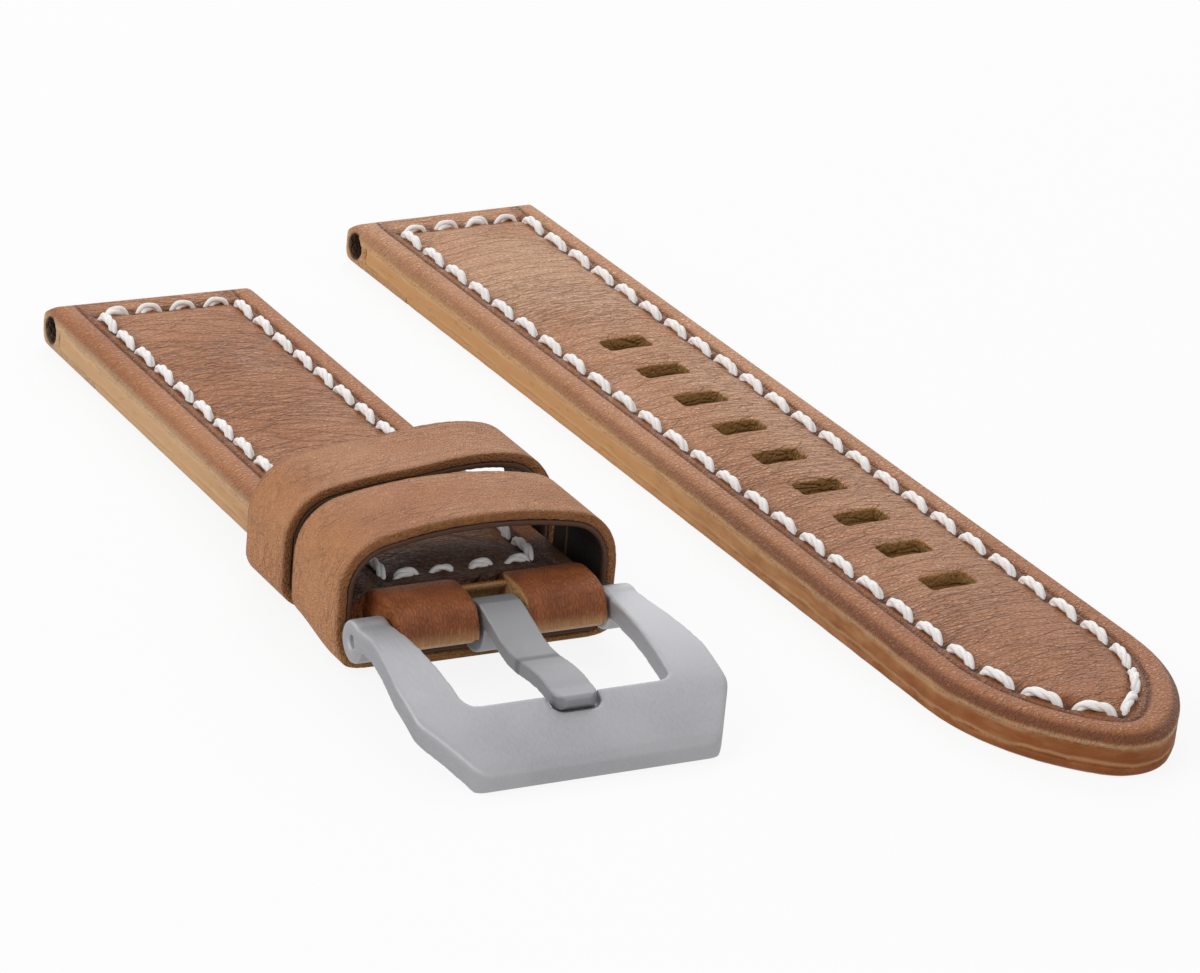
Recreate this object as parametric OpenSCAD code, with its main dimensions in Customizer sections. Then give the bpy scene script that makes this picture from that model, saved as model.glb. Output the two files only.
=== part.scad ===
// Two-piece padded leather watch strap, laid out beside each other on a table.
// X runs across the short half, Y along it towards its lug end, Z is up.
// The origin is at the middle of the layout's footprint, on the table.

/* [Strap] */
// Width of both halves at the watch lugs
strap_w = 22; // [20:0.5:24]
// Thickness of a half along its stitched margin
margin_t = 4.1; // [3.8:0.1:4.6]
// Thickness of the top leather
leather_t = 1.5; // [1.2:0.1:1.8]
// Thickness of the lining under the strap
lining_t = 1.0; // [0.8:0.1:1.3]
// Rise of the padding between the stitch rows
crown_h = 0.6; // [0.3:0.1:1]
// Height of the sloped edge of the top leather
bevel_h = 0.8; // [0.4:0.1:1]
// Width of the sloped edge of the top leather
bevel_w = 1.1; // [0.6:0.1:1.5]
// Size of the small bevel under the lining
foot_bevel = 0.4; // [0.2:0.1:0.5]

/* [Lug ends] */
// Radius of the tunnel for the watch's spring bar
tunnel_r = 1.25; // [0.9:0.05:1.35]
// Leather left between the tunnel and the end of the strap
tunnel_wall = 0.75; // [0.6:0.05:1.2]
// Radius of the rounded end of the strap, seen from the side
lug_round = 1.5; // [0.8:0.1:1.9]
// Length of leather turned back under the strap at the lugs
turn_back = 9; // [7:0.5:14]

/* [Stitching] */
// Distance from the strap's edge to the stitch rows
seam_inset = 3.9; // [3.3:0.1:4.5]
// Distance from the lug end to the row across it
lug_row = 4.3; // [4.2:0.1:6]
// Distance between stitches along the strap
stitch_pitch = 4.7; // [4:0.1:5.5]
// Stitches in a row across the strap
cross_stitches = 4; // [3:1:5]
// Thickness of the thread
thread_d = 0.9; // [0.6:0.05:1]
// Height of a stitch above the leather
stitch_rise = 0.85; // [0.5:0.05:1]
// Height of a stitch in its groove under the lining
under_rise = 0.32; // [0.2:0.02:0.4]
// Leather left between one stitch and the next
stitch_gap = 0.4; // [0.3:0.05:0.8]

/* [Short half] */
// Length of the short half from the buckle's bar to its lug end
short_len = 75.9; // [70:0.5:90]
// Distance from the bar to the end of the top leather
top_start = 4.9; // [4.4:0.1:5.4]
// Distance from the bar to the row of stitches across the strap
cross_row = 6.6; // [6.2:0.1:7.6]
// Height of the bar above the underside of the strap
bar_h = 1.8; // [1.6:0.1:2]

/* [Buckle fold] */
// Thickness of the leather rolled round the bar
fold_t = 1.35; // [1:0.05:1.5]
// Length of the fold's legs inside the strap, from the bar
leg_len = 16; // [13:0.5:20]
// Width of the slot for the tongue
slot_w = 5.5; // [5:0.1:6.5]
// Length of the slot behind the bar
slot_back = 3.8; // [3.4:0.1:4.2]
// Clearance between the fold and the buckle's ears
fold_clear = 0.25; // [0.15:0.05:0.5]

/* [Keepers] */
// Thickness of a keeper's leather
keeper_leather = 0.9; // [0.7:0.1:1.1]
// Thickness of a keeper's black lining
keeper_lining_t = 0.5; // [0.3:0.1:0.6]
// Room beside the strap inside a keeper
keeper_side = 0.85; // [0.7:0.05:1.2]
// Room over both halves of the strap inside a keeper
keeper_room = 0.4; // [0.1:0.1:1]
// Radius of a keeper's top corners, outside
keeper_corner = 5; // [4:0.25:6]
// Radius of a keeper's arched top, outside
keeper_arch = 45; // [35:1:80]
// Distance from the bar to the fixed keeper
fixed_start = 3; // [2.6:0.1:3.4]
// Width of the fixed keeper along the strap
fixed_w = 9.4; // [8.5:0.1:10]
// Gap between the two keepers
keeper_gap = 1.8; // [1.5:0.1:4]
// Width of the sliding keeper along the strap
sliding_w = 7.9; // [7:0.1:9]
// Clearance between the strap and the sliding keeper's floor
slide_clear = 0.1; // [0.05:0.05:0.2]
// Thickness of the lap under the sliding keeper
sliding_lap = 0.3; // [0.25:0.05:0.5]
// Thickness of the lap under the fixed keeper
fixed_lap = 0.45; // [0.3:0.05:0.5]
// Width of the lap across the strap
lap_w = 13.5; // [10:0.5:16]
// Distance of the lap's middle to the left of the strap's middle
lap_shift = 2.8; // [0:0.1:3.4]

/* [Buckle frame] */
// Thickness of the buckle's plate
plate_t = 2.0; // [1.6:0.1:2.2]
// Radius of the plate's arched top
arch_r = 33; // [28:1:60]
// Size of the bevels along the buckle's front edge
nose_bevel = 0.5; // [0.2:0.1:0.7]
// Distance from the bar forward to the highest point of the arch
arch_apex = 4.5; // [3.5:0.25:6]
// Radius of the ears round the bar
ear_r = 1.9; // [1.7:0.05:2.2]
// Width of the buckle over its ears
ear_span = 26.7; // [26:0.1:28]
// Width of the window at the bar
window_w = 20.3; // [19.6:0.1:21]
// Width of the window at its front edge
window_front_w = 19; // [18:0.1:20]
// Distance from the bar forward to the window's front edge
window_len = 14.4; // [13:0.1:16]
// Distance from the bar forward to where the arms start to spread
neck_len = 4; // [3.5:0.25:5]
// Distance from the bar forward to where the arms reach their full width
spread_len = 11; // [10:0.25:12]
// Distance from the bar forward to where the buckle starts to narrow
cheek_len = 15.4; // [14.6:0.1:16.4]
// Greatest width of the buckle
buckle_w = 29; // [28.4:0.1:32]
// Width of the buckle's front edge before its corners are rounded
front_w = 22.2; // [18:0.2:26]
// Distance from the bar forward to the buckle's front edge
buckle_len = 21; // [20:0.1:24]

/* [Spring bar] */
// Radius of the spring bar's tube
bar_r = 0.9; // [0.8:0.05:1]
// Wall of the tube
tube_wall = 0.25; // [0.2:0.05:0.3]
// Radius of the tips in the ears
tip_r = 0.55; // [0.4:0.05:0.55]
// Radial clearance of the tips in the ears and in the tube
tip_clear = 0.03; // [0.02:0.01:0.06]
// Length of a tip inside the tube
tip_in = 4; // [3:0.25:6]
// Depth of a tip's end below the ear's outer face
tip_sunk = 0.4; // [0.2:0.1:1]
// Turns of the spring inside the tube
spring_turns = 10; // [6:1:14]
// Thickness of the spring's wire
wire_d = 0.2; // [0.15:0.01:0.22]

/* [Tongue] */
// Width of the tongue
tongue_w = 4; // [3.4:0.1:4.4]
// Thickness of the tongue
tongue_t = 1.3; // [1:0.05:1.4]
// Radial clearance of the tongue on the bar
tongue_clear = 0.05; // [0.03:0.01:0.1]
// Distance from the bar forward to the tongue's tip
tongue_len = 16.1; // [15.6:0.1:16.6]
// Distance from the bar forward to the bend in the tongue
tongue_bend = 6.8; // [5.5:0.1:8.5]
// Height of the tongue's middle above the bar at its flat stretch
tongue_flat = 0.25; // [0.1:0.05:0.5]
// Depth of the notch that the tongue's tip rests in
notch_depth = 1.05; // [0.9:0.05:1.2]
// Clearance round the tip in its notch
notch_clear = 0.3; // [0.15:0.05:0.5]

/* [Long half] */
// Distance from the first hole to the lug end
long_head = 37.5; // [30:0.5:45]
// Distance from the first hole to the start of the pointed end
long_body = 69.5; // [66:0.5:74]
// Radius of the pointed end's sides
side_r = 20; // [18:0.5:24]
// Radius of the tip
nose_r = 5.6; // [5.5:0.1:7]
// Number of adjusting holes
hole_count = 9; // [5:1:9]
// Distance between adjusting holes
hole_pitch = 7; // [6:0.1:7.5]
// Width of a hole across the strap
hole_w = 4.8; // [4.4:0.1:5.2]
// Length of a hole along the strap
hole_l = 2.5; // [2.2:0.1:3]
// Radius of a hole's corners
hole_corner = 0.9; // [0.4:0.1:1]

/* [Layout on the table] */
// Distance across from the short half's middle to the long half's first hole
long_x = 40.1; // [36:0.1:50]
// Distance along from the bar to the long half's first hole
long_y = 52.1; // [40:0.1:60]
// Angle between the two halves
long_turn = 3; // [0:0.1:6]

/* [Hidden] */
$fn = 64;

tan_leather = [0.66, 0.45, 0.34];
core_board = [0.80, 0.66, 0.48];
suede = [0.78, 0.58, 0.36];
fold_leather = [0.47, 0.24, 0.13];
thread_white = [0.93, 0.92, 0.90];
black_lining = [0.06, 0.06, 0.07];
satin_steel = [0.65, 0.65, 0.66];

// Slack past a face that a cut runs through
cut = 1;
half_w = strap_w / 2;
seam_x = half_w - seam_inset;
core_z = lining_t;
top_z = margin_t - leather_t;
thread_r = thread_d / 2;
// Leather left between the stitches and the padding's crown
crown_gap = 0.3;
crown_x = seam_x - thread_r - crown_gap;
// Distance from a row of stitches across the strap to the end of the crown
crown_off = thread_r + 2 * crown_gap;
// Radius of the falling ends of the crown, seen from the side
crown_end_r = 8;
// Grooves for the stitches under the strap, with room beside and below the thread
groove_w = thread_d + 0.5;
groove_h = under_rise + 0.06;
// The solid leather round a lug tunnel, measured from the lug end
lug_block = 2 * tunnel_r + tunnel_wall + 1;

// Keeper section, measured from the underside of the strap
keeper_wall = keeper_leather + keeper_lining_t;
keeper_half = half_w + keeper_side + keeper_wall;
keeper_inner_h = 2 * margin_t + crown_h + keeper_room;
// Radius of a keeper's bottom corners, outside
keeper_foot_r = keeper_wall + 1.2;
sliding_start = fixed_start + fixed_w + keeper_gap;
sliding_end = sliding_start + sliding_w;

// Rows and ends along the short half
short_row_y = short_len - lug_row;
short_side_count = round((short_row_y - cross_row) / stitch_pitch);
lining_back = short_len - lug_block - turn_back;

// The short half leans on its lug end and on the sliding keeper's lap
lean_drop = slide_clear + keeper_wall + sliding_lap;
lean = atan(lean_drop / (short_len - sliding_end));
bar_z = short_len * sin(lean) + bar_h * cos(lean);

// Long half, in its own frame with the first hole at its origin
side_off = side_r - half_w;
nose_off = sqrt(pow(side_r - nose_r, 2) - pow(side_off, 2));
nose_y = -long_body - nose_off;
nose_turn = atan2(nose_off, side_off);
seam_nose_r = nose_r - seam_inset;
long_row_y = long_head - lug_row;
long_lining_back = long_head - lug_block - turn_back;

// Length of the long half's seam from the lug row to the tip's middle, along one side
seam_straight = long_row_y + long_body;
seam_side = (side_r - seam_inset) * nose_turn * PI / 180;
seam_tip = seam_nose_r * (90 - nose_turn) * PI / 180;
seam_len = seam_straight + seam_side + seam_tip;
long_side_count = round(seam_len / stitch_pitch);

// Footprint of the layout, with the bar's middle at X = 0, Y = 0
foot_left = -buckle_w / 2;
foot_right = long_x + side_r - side_off * cos(long_turn) + long_body * sin(long_turn);
foot_front = long_y + nose_y * cos(long_turn) - nose_r;
foot_back = long_y + long_head * cos(long_turn) + half_w * sin(long_turn);
mid_x = (foot_left + foot_right) / 2;
mid_y = (foot_front + foot_back) / 2;

// Buckle plate, in the frame of the bar, forward is -Y
arch_z = ear_r - arch_r;
function arch_at(r, y) = arch_z + sqrt(pow(r, 2) - pow(y - arch_apex, 2));
foot_y = buckle_len - nose_bevel;
foot_z = arch_at(arch_r - plate_t, foot_y);
// The plate hangs from the bar until its front edge lies on the table
droop = asin(bar_z / norm([foot_y, foot_z])) - atan2(-foot_z, foot_y);
ear_x = ear_span / 2;
notch_floor = arch_at(arch_r, window_len) - notch_depth;
// Radii of the plate's corners seen from above, on its arms, cheeks and front
arm_round = 8;
cheek_round = 2.5;
front_round = 2;
// Radius of the corners of the window and the notch
inner_round = 1.2;

// Fold and spring bar between the ears
fold_half = window_w / 2 - fold_clear;
fold_in_r = bar_r + 0.1;
fold_out_r = fold_in_r + fold_t;
tube_half = window_w / 2 - 0.15;
// Play of the spring in its tube
spring_play = 0.04;

// Tongue, the middle of its strip at the curl, the knee and the tip
tongue_curl = bar_r + tongue_clear + tongue_t / 2;
tongue_knee = [-window_len + 1.6, tongue_flat + 0.15];
tongue_rest = [-window_len - 0.2, notch_floor + tongue_t / 2];
tongue_tip = [-tongue_len, notch_floor + tongue_t / 2];
tongue_corner = 1.1;

// Places

module on_table() {
    translate([-mid_x, -mid_y, 0]) children();
}

// From the short half's own frame, bar at Y = 0 and underside at Z = 0
module place_short() {
    on_table()
        translate([0, 0, bar_z])
            rotate([-lean, 0, 0])
                translate([0, 0, -bar_h]) children();
}

// From the bar's frame, with the plate drooped to the table
module place_buckle() {
    on_table() translate([0, 0, bar_z]) rotate([droop, 0, 0]) children();
}

module place_long() {
    on_table()
        translate([long_x, long_y, 0])
            rotate([0, 0, long_turn]) children();
}

// Shared shapes

function unit(v) = v / norm(v);

// Points of the arc that rounds corner b between a and c
function corner_arc(a, b, c, r, steps) =
    let (
        u = unit(a - b), v = unit(c - b),
        half = acos(u * v) / 2,
        mid = b + unit(u + v) * r / sin(half),
        p = b + u * r / tan(half) - mid,
        q = b + v * r / tan(half) - mid,
        a0 = atan2(p[1], p[0]),
        turn = atan2(p[0] * q[1] - p[1] * q[0], p * q)
    )
    [for (i = [0:steps]) mid + r * [cos(a0 + turn * i / steps), sin(a0 + turn * i / steps)]];

// Outline through corners given as [x, y, radius]
function rounded(corners, steps = 6) =
    let (n = len(corners), xy = [for (c = corners) [c[0], c[1]]])
    [for (i = [0:n - 1])
        each corners[i][2] > 0
            ? corner_arc(xy[(i + n - 1) % n], xy[i], xy[(i + 1) % n], corners[i][2], steps)
            : [xy[i]]];

// Prism along Y whose section is given in X and Z
module along_y(y0, y1) {
    translate([0, y1, 0]) rotate([90, 0, 0]) linear_extrude(y1 - y0) children();
}

// Prism across X whose section is given in Y and Z
module across_x(half) {
    rotate([90, 0, 90]) translate([0, 0, -half]) linear_extrude(2 * half) children();
}

// Crown of the padding standing on a given height, between two ends along Y
module crown(z0, y0, y1) {
    across_r = (pow(crown_x, 2) + pow(crown_h, 2)) / (2 * crown_h);
    fall = sqrt(pow(crown_end_r, 2) - pow(crown_end_r - crown_h, 2));
    translate([0, 0, z0])
        intersection() {
            along_y(y0, y1)
                intersection() {
                    translate([0, crown_h - across_r]) circle(across_r, $fn = 180);
                    translate([-crown_x, 0]) square([2 * crown_x, crown_h]);
                }
            across_x(crown_x)
                intersection() {
                    translate([y0, 0]) square([y1 - y0, crown_h]);
                    union() {
                        translate([y0 + fall, -cut]) square([y1 - y0 - 2 * fall, crown_h + cut]);
                        translate([y0 + fall, crown_h - crown_end_r]) circle(crown_end_r);
                        translate([y1 - fall, crown_h - crown_end_r]) circle(crown_end_r);
                    }
                }
        }
}

// Section across a strap from height z0 to z1 whose side slopes from inset a to inset b
module band_section(z0, z1, a, b) {
    polygon([[a - half_w, z0], [half_w - a, z0], [half_w - b, z1], [b - half_w, z1]]);
}

// Section of the end of a strap at the lugs, rounded over the tunnel
module lug_section(end, from) {
    polygon(rounded([
        [from, 0, 0], [end, 0, lug_round], [end, margin_t, lug_round], [from, margin_t, 0]
    ]));
}

module lug_end(end) {
    difference() {
        intersection() {
            across_x(half_w) lug_section(end, end - lug_block);
            along_y(end - lug_block, end) {
                band_section(0, foot_bevel, foot_bevel, 0);
                band_section(foot_bevel, margin_t - bevel_h, 0, 0);
                band_section(margin_t - bevel_h, margin_t, 0, bevel_w);
            }
        }
        translate([0, end - tunnel_wall - tunnel_r, margin_t / 2])
            rotate([0, 90, 0]) cylinder(r = tunnel_r, h = strap_w + 2 * cut, center = true);
    }
}

// Leather turned back under the strap from the lugs, as far as the lining
module turned_back(end) {
    along_y(end - lug_block - turn_back, end - lug_block) {
        band_section(0, foot_bevel, foot_bevel, 0);
        band_section(foot_bevel, lining_t, 0, 0);
    }
}

// One stitch along X, a round thread bowed up from the leather at Z = 0
module stitch(len, rise) {
    bow_r = (pow(len / 2, 2) + pow(rise, 2)) / (2 * rise);
    intersection() {
        rotate([90, 0, 0]) linear_extrude(thread_d, center = true)
            intersection() {
                translate([0, rise - bow_r]) circle(bow_r);
                translate([-len / 2, 0]) square([len, rise]);
            }
        rotate([90, 0, 90]) linear_extrude(len, center = true)
            intersection() {
                translate([0, rise - thread_r]) circle(thread_r, $fn = 32);
                translate([-thread_r, 0]) square([thread_d, rise]);
            }
    }
}

// Stitches end to end from point a to point b at height z
module stitch_row(a, b, count, z, rise) {
    step = (b - a) / count;
    for (i = [0:count - 1])
        translate([each (a + step * (i + 0.5)), z])
            rotate([0, 0, atan2(step[1], step[0])])
                stitch(norm(step) - stitch_gap, rise);
}

// The same row under the strap, seen from below
module under_row(a, b, count) {
    mirror([0, 0, 1]) stitch_row(a, b, count, -groove_h, under_rise);
}

// Seam across a half, on top and under it
module cross_seam(y) {
    a = [-seam_x, y];
    b = [seam_x, y];
    stitch_row(a, b, cross_stitches, margin_t, stitch_rise);
    under_row(a, b, cross_stitches);
}

// Short half

module short_crown(z0) {
    crown(z0, cross_row + crown_off, short_row_y - crown_off);
}

module short_top_leather() {
    color(tan_leather) place_short() {
        difference() {
            union() {
                along_y(top_start, short_len - lug_block) {
                    band_section(top_z, margin_t - bevel_h, 0, 0);
                    band_section(margin_t - bevel_h, margin_t, 0, bevel_w);
                }
                short_crown(margin_t);
                lug_end(short_len);
                turned_back(short_len);
            }
            short_crown(top_z);
            seam_groove_across(short_row_y);
            seam_grooves_along(lining_back, short_row_y);
        }
    }
}

module short_padding() {
    color(core_board) place_short() {
        along_y(leg_len, short_len - lug_block) band_section(core_z, top_z, 0, 0);
        short_crown(top_z);
    }
}

// Grooves under the strap for the stitches
module seam_groove_across(y) {
    translate([-seam_x - groove_w / 2, y - groove_w / 2, -cut])
        cube([2 * seam_x + groove_w, groove_w, groove_h + cut]);
}

module seam_grooves_along(y0, y1) {
    for (x = [-seam_x, seam_x])
        translate([x - groove_w / 2, y0 - cut, -cut]) cube([groove_w, y1 - y0 + cut, groove_h + cut]);
}

module short_lining() {
    color(suede) place_short()
        difference() {
            union() {
                along_y(top_start, lining_back) {
                    band_section(0, foot_bevel, foot_bevel, 0);
                    band_section(foot_bevel, lining_t, 0, 0);
                }
            }
            seam_groove_across(cross_row);
            seam_grooves_along(cross_row + cut, lining_back + cut);
        }
}

module short_stitching() {
    color(thread_white) place_short() {
        for (side = [-1, 1]) {
            a = [side * seam_x, cross_row];
            b = [side * seam_x, short_row_y];
            stitch_row(a, b, short_side_count, margin_t, stitch_rise);
            under_row(a, b, short_side_count);
        }
        cross_seam(short_row_y);
    }
}

// Buckle fold

// Point where a line from p touches the circle of radius r round the bar
function touch(p, r, side) =
    let (d = p - [0, bar_h], a = atan2(d[1], d[0]), w = acos(r / norm(d)))
    [0, bar_h] + r * [cos(a + side * w), sin(a + side * w)];

module fold_section() {
    over = [top_start, top_z];
    under = [top_start, core_z];
    difference() {
        union() {
            translate([0, bar_h]) circle(fold_out_r);
            polygon([touch(under, fold_out_r, -1), under, over, touch(over, fold_out_r, 1), [0, bar_h]]);
        }
        translate([0, bar_h]) circle(fold_in_r);
    }
}

module buckle_fold() {
    color(fold_leather) place_short()
        difference() {
            union() {
                across_x(fold_half) fold_section();
                translate([-half_w, top_start, core_z]) cube([strap_w, leg_len - top_start, top_z - core_z]);
            }
            translate([-slot_w / 2, -fold_out_r - cut, bar_h - fold_out_r - cut])
                cube([slot_w, fold_out_r + cut + slot_back, 2 * (fold_out_r + cut)]);
        }
}

module fold_stitching() {
    color(thread_white) place_short() cross_seam(cross_row);
}

// Keepers

// Section of a keeper set in by d from its outside, its floor's outside at Z = 0
module keeper_section(d) {
    w = keeper_half - d;
    height = keeper_inner_h + 2 * keeper_wall;
    arch_mid = height - keeper_arch;
    corner_x = keeper_half - keeper_corner;
    corner_z = arch_mid + sqrt(pow(keeper_arch - keeper_corner, 2) - pow(corner_x, 2));
    reach = (keeper_arch - d) / (keeper_arch - keeper_corner);
    foot_x = keeper_half - keeper_foot_r;
    union() {
        translate([-w, keeper_foot_r]) square([2 * w, corner_z - keeper_foot_r]);
        translate([-foot_x, d]) square([2 * foot_x, keeper_foot_r - d + cut]);
        for (side = [-1, 1]) {
            translate([side * foot_x, keeper_foot_r]) circle(keeper_foot_r - d);
            translate([side * corner_x, corner_z]) circle(keeper_corner - d);
        }
        intersection() {
            translate([0, arch_mid]) circle(keeper_arch - d, $fn = 180);
            translate([-corner_x * reach, corner_z]) square([2 * corner_x * reach, height]);
        }
    }
}

module keeper_leather_band(start, width, floor_z, lap) {
    translate([0, 0, floor_z - keeper_wall])
        along_y(start, start + width) {
            difference() {
                keeper_section(0);
                keeper_section(keeper_leather);
            }
            translate([-lap_w / 2 - lap_shift, -lap]) square([lap_w, lap]);
        }
}

module keeper_lining_band(start, width, floor_z) {
    translate([0, 0, floor_z - keeper_wall])
        along_y(start, start + width)
            difference() {
                keeper_section(keeper_leather);
                keeper_section(keeper_wall);
            }
}

module fixed_keeper() {
    color(tan_leather) place_short() keeper_leather_band(fixed_start, fixed_w, 0, fixed_lap);
}

module fixed_keeper_lining() {
    color(black_lining) place_short() keeper_lining_band(fixed_start, fixed_w, 0);
}

module sliding_keeper() {
    color(tan_leather) place_short()
        keeper_leather_band(sliding_start, sliding_w, -slide_clear, sliding_lap);
}

module sliding_keeper_lining() {
    color(black_lining) place_short() keeper_lining_band(sliding_start, sliding_w, -slide_clear);
}

// Buckle

module plate_profile() {
    edge_z = arch_at(arch_r, foot_y);
    intersection() {
        difference() {
            translate([-arch_apex, arch_z]) circle(arch_r, $fn = 180);
            translate([-arch_apex, arch_z]) circle(arch_r - plate_t, $fn = 180);
        }
        polygon([
            [0, -ear_r],
            [0, 2 * ear_r],
            [-foot_y, 2 * ear_r],
            [-foot_y, edge_z],
            [-buckle_len, edge_z - nose_bevel],
            [-buckle_len, foot_z + nose_bevel],
            [-foot_y, foot_z],
            [-arch_apex, foot_z - ear_r]
        ]);
    }
    circle(ear_r);
}

module plate_plan() {
    polygon(rounded([
        [-ear_x, ear_r + cut, 0], [-ear_x, -neck_len, arm_round],
        [-buckle_w / 2, -spread_len, arm_round], [-buckle_w / 2, -cheek_len, cheek_round],
        [-front_w / 2, -buckle_len, front_round],
        [front_w / 2, -buckle_len, front_round],
        [buckle_w / 2, -cheek_len, cheek_round], [buckle_w / 2, -spread_len, arm_round],
        [ear_x, -neck_len, arm_round], [ear_x, ear_r + cut, 0]
    ]));
}

module window_plan() {
    polygon(rounded([
        [-window_w / 2, ear_r + 2 * cut, 0], [-window_w / 2, -ear_r / 2, 0],
        [-window_front_w / 2, -window_len, inner_round],
        [window_front_w / 2, -window_len, inner_round],
        [window_w / 2, -ear_r / 2, 0], [window_w / 2, ear_r + 2 * cut, 0]
    ]));
}

module tongue_notch() {
    w = tongue_w + 2 * notch_clear;
    translate([0, 0, notch_floor])
        linear_extrude(notch_depth + cut)
            polygon(rounded([
                [-w / 2, -window_len + cut, 0],
                [-w / 2, -tongue_len - notch_clear, inner_round],
                [w / 2, -tongue_len - notch_clear, inner_round],
                [w / 2, -window_len + cut, 0]
            ]));
}

module buckle_frame() {
    color(satin_steel) place_buckle()
        difference() {
            intersection() {
                across_x(buckle_w) plate_profile();
                translate([0, 0, -2 * buckle_len]) linear_extrude(4 * buckle_len)
                    difference() {
                        plate_plan();
                        window_plan();
                    }
            }
            tongue_notch();
            rotate([0, 90, 0]) cylinder(r = tip_r + tip_clear, h = ear_span + 2 * cut, center = true);
        }
}

module bar_tube() {
    color(satin_steel) place_buckle() rotate([0, 90, 0])
        difference() {
            cylinder(r = bar_r, h = 2 * tube_half, center = true);
            cylinder(r = bar_r - tube_wall, h = 2 * tube_half + 2 * cut, center = true);
        }
}

module bar_tip(side) {
    inner = tube_half - tip_in;
    outer = ear_x - tip_sunk;
    color(satin_steel) place_buckle()
        translate([side * (inner + outer) / 2, 0, 0])
            rotate([0, 90, 0]) cylinder(r = tip_r, h = outer - inner, center = true);
}

module bar_tip_left() {
    bar_tip(-1);
}

module bar_tip_right() {
    bar_tip(1);
}

// Spring as one unbroken wire, swept in rings of five points
module bar_spring() {
    sides = 5;
    per_turn = 8;
    rings = spring_turns * per_turn;
    coil_r = bar_r - tube_wall - wire_d / 2 - spring_play;
    run = 2 * (tube_half - tip_in) - wire_d - spring_play;
    function ring_point(i, j) =
        let (t = 360 * i / per_turn, s = 360 * j / sides, r = coil_r + wire_d / 2 * cos(s))
        [run * (i / rings - 0.5) + wire_d / 2 * sin(s), r * cos(t), r * sin(t)];
    points = [for (i = [0:rings], j = [0:sides - 1]) ring_point(i, j)];
    walls = [for (i = [0:rings - 1], j = [0:sides - 1])
        let (a = i * sides + j, b = i * sides + (j + 1) % sides)
        each [[a, b, b + sides], [a, b + sides, a + sides]]];
    caps = [
        [for (j = [0:sides - 1]) sides - 1 - j],
        [for (j = [0:sides - 1]) rings * sides + j]
    ];
    color(satin_steel) place_buckle() polyhedron(points, concat(walls, caps), convexity = 4);
}

// Tongue

// Section of the tongue; its strip leaves the curl along a line that touches it
module tongue_profile() {
    h = tongue_t / 2;
    up = [0, h];
    bend = [-tongue_bend, tongue_flat];
    lean_off = asin(tongue_curl / norm(bend));
    dir = atan2(bend[1], bend[0]) - lean_off;
    start = bend - [cos(dir), sin(dir)] * norm(bend) * cos(lean_off);
    side = h * [sin(dir), -cos(dir)];
    outer_turn = 4;
    inner_turn = 3;
    tip_turn = 0.35;
    difference() {
        union() {
            circle(tongue_curl + h);
            polygon(rounded([
                [each (start + side), 0],
                [each (bend + up), outer_turn],
                [each (tongue_knee + up), outer_turn],
                [each (tongue_rest + up), inner_turn / 2],
                [each (tongue_tip + up), tip_turn],
                [each (tongue_tip - up), tip_turn],
                [each (tongue_rest - up), inner_turn / 3],
                [each (tongue_knee - up), inner_turn],
                [each (bend - up), outer_turn],
                [each (start - side), 0]
            ]));
        }
        circle(bar_r + tongue_clear);
        curl_gap();
    }
}

// Gap between the end of the curl and the strip over it, forward of the bar
module curl_gap() {
    reach = 2 * (tongue_curl + tongue_t);
    polygon([[0, 0], [-tongue_t / 2, -reach], [-reach, -reach], [-reach, -2 / 3 * tongue_curl]]);
}

module tongue() {
    color(satin_steel) place_buckle()
        intersection() {
            across_x(tongue_w / 2) tongue_profile();
            translate([0, 0, -buckle_len])
                linear_extrude(2 * buckle_len)
                    polygon(rounded([
                        [-tongue_w / 2, 2 * tongue_curl, 0],
                        [-tongue_w / 2, -tongue_len, tongue_corner],
                        [tongue_w / 2, -tongue_len, tongue_corner],
                        [tongue_w / 2, 2 * tongue_curl, 0]
                    ]));
        }
}

// Long half

// Body of the long half from z0 to z1, its side sloping from inset a to inset b
module long_body(z0, z1, a, b, end) {
    h = z1 - z0;
    along_y(-long_body, end) band_section(z0, z1, a, b);
    // The side cones and the tip's cone meet on planes through their axes
    split_y = nose_y - half_w * tan(nose_turn);
    translate([0, 0, z0]) {
        intersection() {
            side_cone(h, a, b, 1);
            side_cone(h, a, b, -1);
            linear_extrude(h)
                polygon([
                    [0, nose_y], [half_w, split_y], [half_w, -long_body],
                    [-half_w, -long_body], [-half_w, split_y]
                ]);
        }
        intersection() {
            translate([0, nose_y, 0]) cylinder(r1 = nose_r - a, r2 = nose_r - b, h = h, $fn = 96);
            linear_extrude(h) polygon([[0, nose_y], [half_w, split_y], [-half_w, split_y]]);
        }
    }
}

module side_cone(h, a, b, side) {
    translate([side * side_off, -long_body, 0])
        cylinder(r1 = side_r - a, r2 = side_r - b, h = h, $fn = 180);
}

module long_holes() {
    for (i = [0:hole_count - 1])
        translate([0, -i * hole_pitch, -cut])
            linear_extrude(margin_t + crown_h + 2 * cut)
                polygon(rounded([
                    [-hole_w / 2, -hole_l / 2, hole_corner],
                    [hole_w / 2, -hole_l / 2, hole_corner],
                    [hole_w / 2, hole_l / 2, hole_corner],
                    [-hole_w / 2, hole_l / 2, hole_corner]
                ], 4));
}

// Crown of the long half, kept inside the stitches where the tip narrows
module long_crown(z0) {
    inset = half_w - crown_x + crown_gap / 2;
    intersection() {
        crown(z0, nose_y - crown_gap, long_row_y - crown_off);
        translate([0, 0, -cut]) long_body(z0, z0 + crown_h + 2 * cut, inset, inset, long_row_y);
    }
}

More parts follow.
